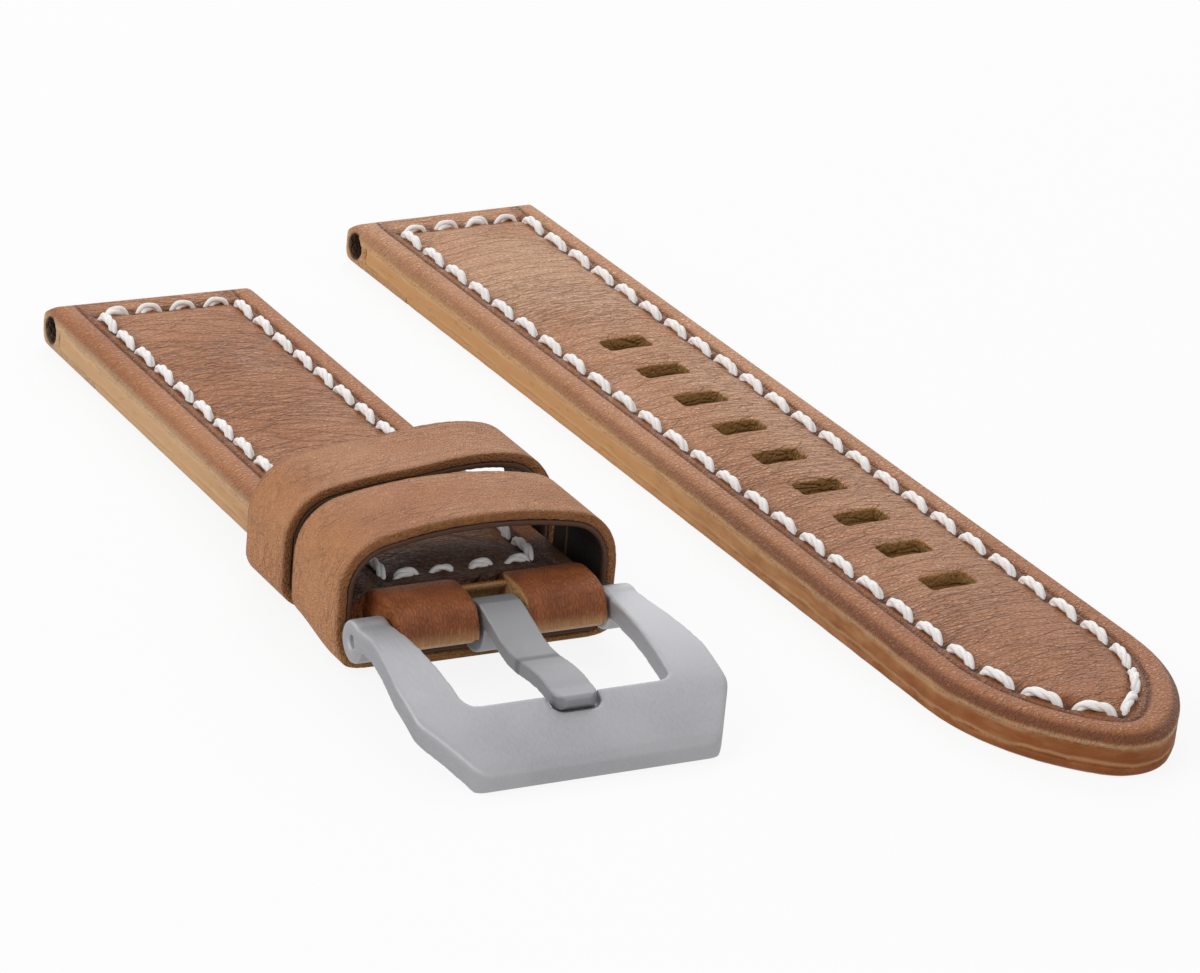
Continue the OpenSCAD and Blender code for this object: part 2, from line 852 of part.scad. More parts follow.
// Point on the right side of the seam at a distance from the lug row
function seam_point(d) =
    d < seam_straight ? [seam_x, long_row_y - d] :
    d < seam_straight + seam_side ?
        let (a = (d - seam_straight) / (side_r - seam_inset) * 180 / PI)
        [-side_off, -long_body] + (side_r - seam_inset) * [cos(a), -sin(a)] :
    let (a = nose_turn + (d - seam_straight - seam_side) / seam_nose_r * 180 / PI)
    [0, nose_y] + seam_nose_r * [cos(a), -sin(a)];

module long_seam() {
    for (side = [-1, 1], i = [0:long_side_count - 1]) {
        p = seam_point(seam_len * i / long_side_count);
        q = seam_point(seam_len * (i + 1) / long_side_count);
        a = [side * p[0], p[1]];
        b = [side * q[0], q[1]];
        stitch_row(a, b, 1, margin_t, stitch_rise);
        under_row(a, b, 1);
    }
}

// Groove under the long half, open at the tip for the straight stitches there
module long_groove() {
    wide = groove_w / 2;
    translate([0, 0, -cut])
        difference() {
            long_body(0, groove_h + cut, seam_inset - wide, seam_inset - wide, long_lining_back + cut);
            intersection() {
                translate([0, 0, -cut])
                    long_body(0, groove_h + 3 * cut, seam_inset + wide, seam_inset + wide, long_row_y);
                translate([-half_w, nose_y + crown_gap, -cut])
                    cube([strap_w, long_row_y - nose_y, groove_h + 3 * cut]);
            }
        }
}

module long_top_leather() {
    color(tan_leather) place_long()
        difference() {
            union() {
                long_body(top_z, margin_t - bevel_h, 0, 0, long_head - lug_block);
                long_body(margin_t - bevel_h, margin_t, 0, bevel_w, long_head - lug_block);
                long_crown(margin_t);
                lug_end(long_head);
                turned_back(long_head);
            }
            long_crown(top_z);
            long_holes();
            seam_groove_across(long_row_y);
            seam_grooves_along(long_lining_back, long_row_y);
        }
}

module long_padding() {
    color(core_board) place_long()
        difference() {
            union() {
                long_body(core_z, top_z, 0, 0, long_head - lug_block);
                long_crown(top_z);
            }
            long_holes();
        }
}

module long_lining() {
    color(suede) place_long()
        difference() {
            union() {
                long_body(0, foot_bevel, foot_bevel, 0, long_lining_back);
                long_body(foot_bevel, lining_t, 0, 0, long_lining_back);
            }
            long_holes();
            long_groove();
        }
}

module long_stitching() {
    color(thread_white) place_long() {
        long_seam();
        cross_seam(long_row_y);
    }
}

short_top_leather();
short_padding();
short_lining();
short_stitching();
buckle_fold();
fold_stitching();
fixed_keeper();
fixed_keeper_lining();
sliding_keeper();
sliding_keeper_lining();
buckle_frame();
bar_tube();
bar_tip_left();
bar_tip_right();
bar_spring();
tongue();
long_top_leather();
long_padding();
long_lining();
long_stitching();
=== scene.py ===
import math

import bpy
import numpy as np
from mathutils import Matrix, Vector


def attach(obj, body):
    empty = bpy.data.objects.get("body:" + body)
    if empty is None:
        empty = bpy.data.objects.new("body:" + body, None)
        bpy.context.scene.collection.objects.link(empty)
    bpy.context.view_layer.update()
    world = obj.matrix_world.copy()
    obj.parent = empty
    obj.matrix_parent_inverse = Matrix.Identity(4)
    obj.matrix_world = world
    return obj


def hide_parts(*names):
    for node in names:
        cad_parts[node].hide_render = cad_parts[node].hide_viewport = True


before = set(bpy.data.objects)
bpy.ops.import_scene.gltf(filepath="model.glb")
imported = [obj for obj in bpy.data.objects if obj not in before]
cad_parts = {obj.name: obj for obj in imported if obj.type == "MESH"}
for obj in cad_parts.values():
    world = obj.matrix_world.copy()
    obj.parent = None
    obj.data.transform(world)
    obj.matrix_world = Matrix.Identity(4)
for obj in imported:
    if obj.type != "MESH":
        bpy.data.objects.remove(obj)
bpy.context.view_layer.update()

# The camera stands before the buckle, to its left and well above the table, a little
# rolled, with a lens of about 147 mm. It looks at the middle of the layout.
around, above, roll = math.radians(29.83), math.radians(23.98), math.radians(6.08)
ahead = Vector((
    math.sin(around) * math.cos(above), math.cos(around) * math.cos(above), -math.sin(above)
))
level = Vector((math.cos(around), -math.sin(around), 0))
upright = level.cross(ahead)
right = level * math.cos(roll) + upright * math.sin(roll)
up = upright * math.cos(roll) - level * math.sin(roll)
stand = Matrix((right, up, -ahead)).transposed().to_4x4()
stand.translation = Vector((-0.199698, -0.356881, 0.184622))
camera_data = bpy.data.cameras.new("camera")
camera_data.lens = 146.78
camera_data.sensor_width = 36
camera_data.clip_start = 0.01
camera = bpy.data.objects.new("camera", camera_data)
camera.matrix_world = stand
bpy.context.scene.collection.objects.link(camera)
bpy.context.scene.camera = camera
bpy.context.scene.view_settings.view_transform = "Standard"


# The table is a plain white sheet, far wider than the strap. The camera and the metal
# see it as white, and it keeps a trace of the strap's shadow.
class Wire:
    """An output in a material's nodes. Ordinary maths on it adds Math nodes."""

    def __init__(self, tree, socket=None):
        self.tree = tree
        self.socket = socket

    def node(self, kind, settings, sockets, out=0):
        """Adds any node: its settings and a ramp's stops first, then its values and links."""
        made = self.tree.nodes.new("ShaderNode" + kind)
        for name, value in settings.items():
            if name == "stops":
                points = made.color_ramp.elements
                while len(points) < len(value):
                    points.new(1)
                for point, (place, colour) in zip(points, value):
                    point.position = place
                    point.color = colour
            else:
                setattr(made, name, value)
        for name, value in sockets.items():
            if isinstance(value, Wire):
                self.tree.links.new(value.socket, made.inputs[name])
            else:
                made.inputs[name].default_value = value
        return Wire(self.tree, made.outputs[out])

    def into(self, node, name):
        self.tree.links.new(self.socket, self.tree.nodes[node].inputs[name])

    def maths(self, operation, *values):
        return self.node("Math", {"operation": operation}, dict(enumerate(values)))

    def __add__(self, other):
        return self.maths("ADD", self, other)

    def __sub__(self, other):
        return self.maths("SUBTRACT", self, other)

    def __rsub__(self, other):
        return self.maths("SUBTRACT", other, self)

    def __mul__(self, other):
        return self.maths("MULTIPLY", self, other)

    def __abs__(self):
        return self.maths("ABSOLUTE", self)

    __radd__ = __add__
    __rmul__ = __mul__


def finish_named(name, **sockets):
    """A new material, its wires, and the numbers that are the same all over it."""
    material = bpy.data.materials.new(name)
    material.use_nodes = True
    for socket, value in sockets.items():
        label = socket.replace("_", " ").title().replace("Ior", "IOR")
        material.node_tree.nodes["Principled BSDF"].inputs[label].default_value = value
    return material, Wire(material.node_tree)


def white_to_see(wires):
    """Two wires: 1 where the camera looks, and 1 where metal or glass does."""
    seen, mirrored, through = [
        wires.node("LightPath", {}, {}, f"Is {ray} Ray")
        for ray in ("Camera", "Glossy", "Transmission")
    ]
    return seen, mirrored + through


table_half = 4
table_mesh = bpy.data.meshes.new("table")
table_mesh.from_pydata([
    (-table_half, -table_half, 0), (table_half, -table_half, 0),
    (table_half, table_half, 0), (-table_half, table_half, 0),
], [], [(0, 1, 2, 3)])
table = bpy.data.objects.new("table", table_mesh)
bpy.context.scene.collection.objects.link(table)
table_white, wires = finish_named(
    "table_white", base_color=(0.85, 0.85, 0.85, 1), roughness=0.9, specular_ior_level=0.1
)
looked_at, mirrored = white_to_see(wires)
lit = Wire(table_white.node_tree, table_white.node_tree.nodes["Principled BSDF"].outputs[0])
glow = wires.node("Emission", {}, {"Color": (1, 1, 1, 1), "Strength": 1})
wires.node("MixShader", {}, {
    0: looked_at * 0.88 + mirrored, 1: lit, 2: glow,
}).into("Material Output", "Surface")
table_mesh.materials.append(table_white)

# The light is a white room with three large soft lamps: one high behind the strap on the
# right, one high on the left, and a weak one near the camera.
world = bpy.data.worlds.new("room")
bpy.context.scene.world = world
world.use_nodes = True
wires = Wire(world.node_tree)
looked_at, mirrored = white_to_see(wires)
room_light = wires.node("Background", {}, {"Color": (1, 1, 1, 1), "Strength": 0.5})
room_seen = wires.node("Background", {}, {"Color": (1, 1, 1, 1), "Strength": 1})
wires.node("MixShader", {}, {
    0: looked_at + mirrored, 1: room_light, 2: room_seen,
}).into("World Output", "Surface")
for name, place, size, power in (
    ("back_right", (0.35, 0.62, 0.52), 0.6, 2.8),
    ("high_left", (-0.60, 0.05, 0.42), 0.6, 2.3),
    ("near_camera", (-0.05, -0.60, 0.45), 0.5, 0.7),
):
    lamp_data = bpy.data.lights.new(name, "AREA")
    lamp_data.shape = "DISK"
    lamp_data.size = size
    lamp_data.energy = power
    lamp = bpy.data.objects.new(name, lamp_data)
    lamp.location = place
    lamp.rotation_euler = (-Vector(place)).to_track_quat("-Z", "Y").to_euler()
    bpy.context.scene.collection.objects.link(lamp)


# The short half's top leather is a cowhide 1.5 mm thick, skived at its edges, pulled over
# the padding and turned back under at the lug end. An iron has run a crease along it.
bar_place = Matrix.Translation((-20.1248, -27.997, 4.33698))
bar_height = 1.8
short_place = (
    bar_place @ Matrix.Rotation(math.radians(-1.91624), 4, "X")
    @ Matrix.Translation((0, 0, -bar_height))
)
half_w, margin_t, seam_inset, crease_inset = 11, 4.1, 3.9, 2.8
seam_x = half_w - seam_inset
short_end, short_row_y, cross_row_y = 75.9, 71.6, 6.6
tunnel_r, tunnel_in = 1.5, 2


def carried(points, place):
    """Points taken through a placement, all at once."""
    turn = np.array(place)
    return points @ turn[:3, :3].T + turn[:3, 3]


def evened(piece, grain):
    """Makes a piece's mesh over in small even faces: the piece and its points."""
    bpy.context.scene.collection.objects.link(piece)
    even = piece.modifiers.new("even faces", "REMESH")
    even.mode = "VOXEL"
    even.voxel_size = grain
    even.use_smooth_shade = True
    rough = piece.data
    graph = bpy.context.evaluated_depsgraph_get()
    piece.data = bpy.data.meshes.new_from_object(piece.evaluated_get(graph))
    piece.modifiers.clear()
    bpy.data.meshes.remove(rough)
    piece.data.materials.clear()
    points = np.empty(len(piece.data.vertices) * 3)
    piece.data.vertices.foreach_get("co", points)
    return piece, points.reshape(-1, 3)


def recast(node, name, place, grain):
    """A solid's mesh in small even faces, and its points in millimetres in its own frame."""
    piece = bpy.data.objects.new(name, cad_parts[node].data.copy())
    piece.data.transform(Matrix.Scale(1000, 4))
    piece, points = evened(piece, grain)
    return piece, carried(points, place.inverted())


def rubbed(piece, points, strength, rounds):
    """Each point moves towards the middle of its neighbours, by its own strength."""
    edges = np.empty(len(piece.data.edges) * 2, np.int32)
    piece.data.edges.foreach_get("vertices", edges)
    near = np.bincount(edges, minlength=len(points))[:, None]
    a, b = edges.reshape(-1, 2).T
    for _ in range(rounds):
        middle = np.stack([
            np.bincount(a, points[b, k], len(points)) + np.bincount(b, points[a, k], len(points))
            for k in range(3)
        ], 1) / near
        points = points + strength[:, None] * (middle - points)
    return points


def facing(piece, points):
    """Which way the surface faces at each point, once the points are in the mesh."""
    piece.data.vertices.foreach_set("co", points.ravel())
    piece.data.update()
    normals = np.empty(len(points) * 3)
    piece.data.vertices.foreach_get("normal", normals)
    return normals.reshape(-1, 3)


def set_down(piece, own, place, body, node, slot, material, **marks):
    """Puts a piece where its solid is, in metres, with what it tells its finish."""
    piece.data.vertices.foreach_set("co", (carried(own, place) / 1000).ravel())
    piece.data.update()
    for name, values in {"lay": own, **marks}.items():
        layer = piece.data.attributes.new(name, "FLOAT_VECTOR", "POINT")
        layer.data.foreach_set("vector", np.ascontiguousarray(values, float).ravel())
    piece.data.materials.append(material)
    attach(piece, body)
    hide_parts(node)


def ramp(values, low, high):
    """0 up to low, 1 from high, and smooth between."""
    t = np.clip((values - low) / (high - low), 0, 1)
    return t * t * (3 - 2 * t)


def bell(values, width):
    """1 at 0, and close to 0 from about twice the width."""
    return np.exp(-((values / width) ** 2))


def row(start, end, count):
    """The stitches of a straight row, each by its two ends."""
    start, end = np.array(start, float), np.array(end, float)
    pitch = (end - start) / count
    return [(start + pitch * i, start + pitch * (i + 1)) for i in range(count)]


def near_ends(own, stitches, width):
    """Close to 1 where a thread goes down into the leather, 0 away from it."""
    close = np.zeros(len(own))
    for stitch in stitches:
        for x, y in stitch:
            close = np.maximum(close, bell(np.hypot(own[:, 0] - x, own[:, 1] - y), width))
    return close


def pulled_over(node, name, place, turned_from):
    """A top leather's mesh, smoothed on its outside and where it is turned back."""
    piece, own = recast(node, name, place, 0.2)
    outer = ramp(own[:, 2], 2.75, 3.1) + ramp(own[:, 1], turned_from, turned_from + 1)
    outer += ramp(1.2 - own[:, 2], 0, 0.1)
    return piece, rubbed(piece, own, 0.5 * np.clip(outer, 0, 1), 3)


def pressed(own, inset, hole, stitches, row_y, end):
    """Drops the top face along its creases, seams, stitch ends and hole rims."""
    top = ramp(own[:, 2], margin_t - 0.75, margin_t - 0.35)
    across = ramp(seam_x + 0.3 - np.abs(own[:, 0]), 0, 0.3)
    sink = 0.3 * bell(inset - crease_inset, 0.25) - 0.05 * bell(inset - 1.6, 0.8)
    sink += 0.16 * bell(inset - seam_inset, 0.65)
    sink *= ramp(end - own[:, 1], 1.2, 3.2)
    sink += 0.16 * bell(own[:, 1] - row_y, 0.7) * across
    sink += 0.3 * near_ends(own, stitches, 0.5)
    sink += 0.12 * bell(hole, 0.55)
    return own - np.outer(top * sink, (0, 0, 1))


def in_tunnel(own, end):
    """Close to 1 inside the tunnel for the watch's spring bar, where painted shade goes."""
    off = np.hypot(own[:, 1] - end + tunnel_in, own[:, 2] - margin_t / 2)
    return 0.95 * ramp(tunnel_r - off, 0, 0.2)


def short_marks(own):
    """For the short half: in from its edge, out from any hole, and how far from the lug end."""
    no_hole = np.full(len(own), 9.0)
    return half_w - np.abs(own[:, 0]), no_hole, ramp(short_end - own[:, 1], 0, 90)


def told(wires, name="marks"):
    """The three numbers that a piece tells its finish at each point."""
    layer = wires.node("Attribute", {"attribute_name": name}, {}, "Vector")
    return [layer.node("SeparateXYZ", {}, {0: layer}, k) for k in range(3)]


def laid(wires):
    """Each point's place in the piece's own frame, in millimetres."""
    return wires.node("Attribute", {"attribute_name": "lay"}, {}, "Vector")


def height_of(lay):
    return lay.node("SeparateXYZ", {}, {0: lay}, 2)


def stretched(lay, scale, turn=0.0):
    """A place turned about the vertical, then stretched along each direction."""
    turned = lay.node("VectorRotate", {"rotation_type": "Z_AXIS"}, {"Vector": lay, "Angle": turn})
    return lay.node("VectorMath", {"operation": "MULTIPLY"}, {0: turned, 1: scale})


def cloud(lay, scale, detail=3.0, turn=0.0):
    """Noise over the leather, its size given for each direction."""
    return lay.node("TexNoise", {}, {
        "Vector": stretched(lay, scale, turn), "Scale": 1.0, "Detail": detail,
        "Roughness": 0.55,
    })


def cells(lay, scale, turn, wander):
    """Distance from the borders of uneven cells, as wide and long as the scale makes them."""
    placed = stretched(lay, scale, turn)
    drift = lay.node("TexNoise", {}, {"Vector": placed, "Scale": 0.7, "Detail": 2.0}, "Color")
    drift = lay.node("VectorMath", {"operation": "MULTIPLY"}, {0: drift, 1: (wander,) * 3})
    placed = lay.node("VectorMath", {"operation": "ADD"}, {0: placed, 1: drift})
    return lay.node("TexVoronoi", {"feature": "DISTANCE_TO_EDGE"}, {"Vector": placed, "Scale": 1.0})


def step(value, low, high):
    """0 up to low, 1 from high, and smooth between, as nodes."""
    return value.node("MapRange", {"interpolation_type": "SMOOTHSTEP"}, {
        "Value": value, "From Min": low, "From Max": high,
    })


def stripe(value, middle, width):
    """1 on a line, falling to 0 at its width to either side."""
    return 1 - step(abs(value - middle), 0.0, width)


def mixed(share, first, second):
    """The first colour where the share is 0, the second where it is 1."""
    return share.node("Mix", {"data_type": "RGBA"}, {0: share, 6: first, 7: second}, 2)


def embossed(wires, relief, strength, depth):
    """The finish's fine relief, its depth in metres."""
    wires.node("Bump", {}, {
        "Strength": strength, "Distance": depth, "Height": relief,
    }).into("Principled BSDF", "Normal")


def edge_wall(lay, from_lug, light, dark):
    """The strap's rubbed edge: its layers, and a colour that darkens in blotches away from the lug
    end.
    """
    blotches = cloud(lay, (0.35, 0.35, 1.0), 4)
    tone = mixed(step(from_lug + (blotches - 0.5) * 0.7, 0.25, 1.0), light, dark)
    wander = height_of(lay) + (cloud(lay, (0.15, 0.15, 0.15), 3) - 0.5) * 1.2
    tone = mixed(stripe(wander, 1.2, 0.3) * 0.35, tone, (0.66, 0.42, 0.21, 1))
    tone = mixed(stripe(wander, 2.85, 0.55) * 0.4, tone, (0.70, 0.46, 0.25, 1))
    fleck = step(cloud(lay, (0.6, 0.6, 2.5), 4), 0.58, 0.72)
    return mixed(fleck * 0.3, tone, (0.25, 0.11, 0.045, 1))


def slot_wall(lay):
    """The raw suede inside the punched slots, with painted shade that darkens it as it goes down.
    """
    suede = mixed(cloud(lay, (3.0, 3.0, 3.0)), (0.22, 0.105, 0.025, 1), (0.42, 0.24, 0.08, 1))
    deep_shade = 1 - step(height_of(lay), 1.6, 3.6)
    return mixed(deep_shade * 0.75, suede, (0.05, 0.022, 0.006, 1))


def strap_leather(name, wall_light, wall_dark, face_dark, face_light, slants, far_painted_shade):
    """Hide for a top leather. Slants is how much it is folded askew; the last argument is how much
    painted shade darkens the face away from the lug end, where its sheen falls off.
    """
    material, wires = finish_named(name, specular_ior_level=0.32)
    lay = laid(wires)
    height = height_of(lay)
    inset, hole, by_thread = told(wires)
    upward, from_lug, painted_shade = told(wires, "worn")

    # Fine pebbles, a net of short creases across the strap, and a few slanting folds.
    on_face = step(inset, 2.9, 4.6)
    pebble = step(cells(lay, (1.9, 2.6, 1.9), 0.0, 0.6), 0.0, 0.3)
    patchy = step(cloud(lay, (0.07, 0.11, 0.1), 2), 0.40, 0.62)
    hair = 1 - step(cells(lay, (0.36, 1.8, 0.5), 0.03, 0.7), 0.0, 0.10)
    across = 1 - step(cells(lay, (0.11, 0.60, 0.3), -0.06, 0.9), 0.0, 0.05)
    slant = 1 - step(cells(lay, (0.09, 0.42, 0.3), 0.40, 1.4), 0.0, 0.075)
    ripple = (cloud(lay, (0.2, 0.9, 0.3), 3, 0.1) - 0.5) * on_face * (0.5 + slants)
    fine_folds = hair * (0.25 + 0.75 * patchy) + across * 0.7
    creased = fine_folds * (0.3 + 0.7 * on_face) + slant * on_face * slants

    # The face, patchy, with painted shade and painted sheen, and the dark line that the iron has
    # left along it.
    tone = mixed(step(cloud(lay, (0.1, 0.07, 0.1), 4), 0.35, 0.65), face_dark, face_light)
    # Painted shade: the face darkens away from the lug end, as its sheen falls off.
    tone = mixed(far_painted_shade * step(from_lug, 0.15, 0.85), tone, (0.33, 0.108, 0.036, 1))
    # Painted sheen: pale patches, strongest near the lug end.
    painted_sheen = step(cloud(lay, (0.06, 0.06, 0.1), 2), 0.42, 0.65) * on_face * (1 - from_lug)
    tone = mixed(painted_sheen * 0.45, tone, (0.74, 0.46, 0.29, 1))
    speckle = cloud(lay, (2.2, 2.8, 2.2), 3)
    tone = mixed(step(speckle, 0.45, 0.75) * 0.3, tone, (0.70, 0.40, 0.23, 1))
    tone = mixed((1 - pebble) * 0.22, tone, (0.22, 0.068, 0.022, 1))
    tone = mixed(creased * 0.22, tone, (0.13, 0.036, 0.010, 1))
    tone = mixed(stripe(inset, 3.45, 0.9) * 0.55, tone, (0.20, 0.066, 0.026, 1))
    line = inset + (speckle - 0.5) * 0.3
    tone = mixed(stripe(line, crease_inset, 0.38) * 0.8, tone, (0.075, 0.022, 0.009, 1))

    # The side wall under the face, the dark corner between them, the stitch ends, and painted
    # shade.
    side = 1 - step(inset, 0.5, 0.9)
    under_face = side * (1 - step(height + (speckle - 0.5) * 0.3, 3.35, 3.6))
    tone = mixed(under_face, tone, edge_wall(lay, from_lug, wall_light, wall_dark))
    # The corner darkens partly with the stain of the burnished edge and partly with painted shade,
    # which grows away from the lug end.
    corner = stripe(line * 0.5 - height + 4.1, 0.74, 0.34) * (1 - step(inset, 0.6, 1.0))
    tone = mixed(corner * (0.3 + from_lug * far_painted_shade * 1.1), tone, (0.16, 0.048, 0.014, 1))
    # Painted shade in the dimples where the thread goes down into the leather.
    tone = mixed(by_thread * 0.85, tone, (0.03, 0.010, 0.005, 1))
    # Painted shade on the strap under the keepers, by the fold and inside the tunnel.
    tone = mixed(painted_shade, tone, (0.050, 0.026, 0.018, 1))
    punched = (1 - step(hole, 0.02, 0.14)) * (1 - step(upward, 0.35, 0.75))
    mixed(punched, tone, slot_wall(lay)).into("Principled BSDF", "Base Color")
    (0.42 + (1 - pebble) * 0.2 + punched * 0.3).into("Principled BSDF", "Roughness")

    relief = pebble * 0.6 - creased * 1.3 + (speckle - 0.5) * 0.7 + ripple * 2.4
    relief = relief + side * (cloud(lay, (0.8, 0.8, 3.0), 3) - 0.5) * 0.8
    embossed(wires, relief, 1.0, 0.00016)
    return material


short_sides = [
    stitch for x in (-seam_x, seam_x) for stitch in row((x, cross_row_y), (x, short_row_y), 14)
]
short_lug_row = row((-seam_x, short_row_y), (seam_x, short_row_y), 4)
short_hide = strap_leather(
    "short_hide", (0.52, 0.31, 0.165, 1), (0.39, 0.19, 0.085, 1),
    (0.41, 0.150, 0.052, 1), (0.49, 0.205, 0.083, 1), slants=1.0, far_painted_shade=0.1,
)
piece, own = pulled_over("short_top_leather", "short_top", short_place, 67)
inset, hole, from_lug = short_marks(own)
stitches = short_sides + short_lug_row
own = pressed(own, inset, hole, stitches, short_row_y, short_end)
# Painted shade: under the keepers, by the fold and inside the tunnel.
under_keepers = 0.8 * ramp(-own[:, 1], -13.0, -9.0)
at_fold = 0.9 * ramp(-own[:, 1], -5.6, -5.0)
painted_shade = np.maximum(np.maximum(under_keepers, at_fold), in_tunnel(own, short_end))
set_down(
    piece, own, short_place, "short_half", "short_top_leather", "top_leather", short_hide,
    marks=np.stack([inset, hole, near_ends(own, stitches, 0.75)], 1),
    worn=np.stack([facing(piece, own)[:, 2], from_lug, painted_shade], 1),
)


# The padding is a strip of pressed leather board between the two leathers, crowned between
# the stitch rows and cut flush at the sides, where it shows as part of the stained edge.
def tucked(node, name, place, marks):
    """A padding's mesh, a hair narrower than the leathers, its long edges pushed into both."""
    piece, own = recast(node, name, place, 0.25)
    own = own - 0.03 * facing(piece, own) * (1, 1, 0)
    by_edge = ramp(1.2 - np.minimum(marks(own)[0], 1.2), 0, 0.6)
    raised, lowered = ramp(own[:, 2], 2.3, 2.5), ramp(-own[:, 2], -1.3, -1.1)
    own[:, 2] += 0.25 * by_edge * (raised - lowered)
    return piece, own


def board(name, wall_light, wall_dark):
    """Pressed board, stained at the edge and raw in the slots."""
    material, wires = finish_named(name, roughness=0.72, specular_ior_level=0.25)
    lay = laid(wires)
    _, hole, from_lug = told(wires)
    punched = 1 - step(hole, 0.05, 0.3)
    wall = edge_wall(lay, from_lug, wall_light, wall_dark)
    mixed(punched, wall, slot_wall(lay)).into("Principled BSDF", "Base Color")
    relief = (cloud(lay, (0.8, 0.8, 3.0), 3) - 0.5) + (cloud(lay, (4.0, 4.0, 4.0)) - 0.5) * 0.5
    embossed(wires, relief, 0.7, 0.00012)
    return material


short_walls = (0.53, 0.32, 0.165, 1), (0.39, 0.19, 0.085, 1)
short_board = board("short_board", *short_walls)
piece, own = tucked("short_padding", "short_padding_strip", short_place, short_marks)
set_down(
    piece, own, short_place, "short_half", "short_padding", "padding", short_board,
    marks=np.stack(short_marks(own), 1),
)


# The lining is a soft tan calf leather, cemented and stitched under the strap. It meets
# the end of the top leather that is turned back from the lugs.
def laid_under(node, name, place):
    """A lining's mesh, its underside smoothed."""
    piece, own = recast(node, name, place, 0.25)
    return piece, rubbed(piece, own, 0.5 * ramp(0.75 - own[:, 2], 0, 0.2), 3)


def lining_leather(name, wall_light, wall_dark):
    """Soft calf with open pores, its edge stained with the strap's."""
    material, wires = finish_named(name, roughness=0.7, specular_ior_level=0.25)
    lay = laid(wires)
    height = height_of(lay)
    inset, hole, from_lug = told(wires)
    face = mixed(cloud(lay, (0.3, 0.3, 0.3), 4), (0.50, 0.33, 0.19, 1), (0.58, 0.40, 0.24, 1))
    pores = wires.node("TexVoronoi", {"feature": "F1"}, {
        "Vector": stretched(lay, (2.4, 2.4, 2.4)), "Scale": 1.0,
    })
    face = mixed((1 - step(pores, 0.05, 0.3)) * 0.4, face, (0.30, 0.17, 0.08, 1))
    beside = (1 - step(inset, 0.25, 0.55)) * step(height, 0.12, 0.35)
    face = mixed(beside, face, edge_wall(lay, from_lug, wall_light, wall_dark))
    punched = (1 - step(hole, 0.05, 0.2)) * step(height, 0.1, 0.2)
    mixed(punched, face, (0.30, 0.18, 0.07, 1)).into("Principled BSDF", "Base Color")
    relief = step(pores, 0.0, 0.35) * 0.6 + (cloud(lay, (1.5, 1.5, 1.5), 4) - 0.5)
    embossed(wires, relief, 0.6, 0.0001)
    return material


short_calf = lining_leather("short_calf", *short_walls)
piece, own = laid_under("short_lining", "short_lining_strip", short_place)
set_down(
    piece, own, short_place, "short_half", "short_lining", "strap_lining", short_calf,
    marks=np.stack(short_marks(own), 1),
)


# The fold is a redder leather rolled round the spring bar, slotted for the tongue and
# stitched between the two leathers. Its cut edges show ochre suede.
fold_hide, wires = finish_named("fold_hide", specular_ior_level=0.3)
lay = laid(wires)
suede, low, _ = told(wires)
wrinkle = 1 - step(cells(lay, (3.2, 1.1, 1.1), 0.0, 0.9), 0.0, 0.2)
mottle = cloud(lay, (0.5, 0.5, 0.5), 3)
tone = mixed(step(mottle, 0.3, 0.7), (0.20, 0.054, 0.014, 1), (0.30, 0.090, 0.026, 1))
tone = mixed(wrinkle * 0.16, tone, (0.07, 0.022, 0.01, 1))
# The lower front turns golden: partly the fold's own colour, partly painted light.
golden = mixed(cloud(lay, (2.0, 1.0, 2.0), 4), (0.46, 0.22, 0.085, 1), (0.70, 0.42, 0.20, 1))
tone = mixed(low, tone, golden)
ochre = mixed(cloud(lay, (3.0, 3.0, 3.0), 4), (0.30, 0.155, 0.05, 1), (0.50, 0.29, 0.12, 1))
mixed(suede, tone, ochre).into("Principled BSDF", "Base Color")
(0.5 + suede * 0.35).into("Principled BSDF", "Roughness")
relief = (mottle - 0.5) * 0.6 - wrinkle * 0.8 + suede * (cloud(lay, (5.0, 5.0, 5.0)) - 0.5)
embossed(wires, relief, 0.7, 0.00015)

slot_half = 2.75
piece, own = recast("buckle_fold", "rolled_fold", short_place, 0.15)
own = rubbed(piece, own, np.full(len(own), 0.5), 4)
out_x, out_y, _ = facing(piece, own).T
x, y, z = own.T.copy()
aside = np.abs(x)
slot_end = ramp(slot_half - aside, 0, 0.15) * ramp(y, 1.5, 2.5) * ramp(-out_y, 0.3, 0.7)
slot_sides = ramp(np.abs(out_x), 0.6, 0.9) * ramp(slot_half + 0.25 - aside, 0, 0.2)
suede = np.clip(slot_sides + slot_end, 0, 1)
# The lower front, which gets the golden colour and painted light.
low = ramp(-z, -2.9, -1.0) * ramp(3 - y, 0, 1)

# It swells over the bar and rises to the leathers, is pinched up under the bar, and its
# slot leans over at the back and closes a little round the tongue.
off_bar = ramp(np.hypot(y, z - bar_height), 1.1, 2.1)
rise = 0.45 * ramp(y, -2.3, -1.2) + 1.15 * ramp(y, -0.8, 3.4)
swell = rise * ramp(z, 1.9, 3.0) * ramp(5.6 - y, 0, 0.8)
pinch = ramp(bar_height - z, 0, 1.5) * ramp(3 - y, 0, 2)
over = ramp(slot_half + 0.05 - aside, 0, 0.1) * ramp(y, 2.8, 3.6) * ramp(6.4 - y, 0, 2.6)
closing = 0.42 * ramp(5 - aside, 0, 2) * ramp(3.9 - y, 0, 0.6)
own[:, 2] += (swell + pinch) * off_bar
own[:, 1] -= 1.5 * over * ramp(own[:, 2], 2.6, 4.2)
own[:, 0] -= closing * np.sign(x)
set_down(
    piece, own, short_place, "short_half", "buckle_fold", "fold_leather", fold_hide,
    marks=np.stack([suede, low, low], 1),
)


# The thread is a thick waxed white twine of plied strands, sewn from hole to hole, above
# the leather and in a groove under it. The rows across the strap are pulled less tight,
# so that two strands show there and three along the sides.
groove_z = 0.38


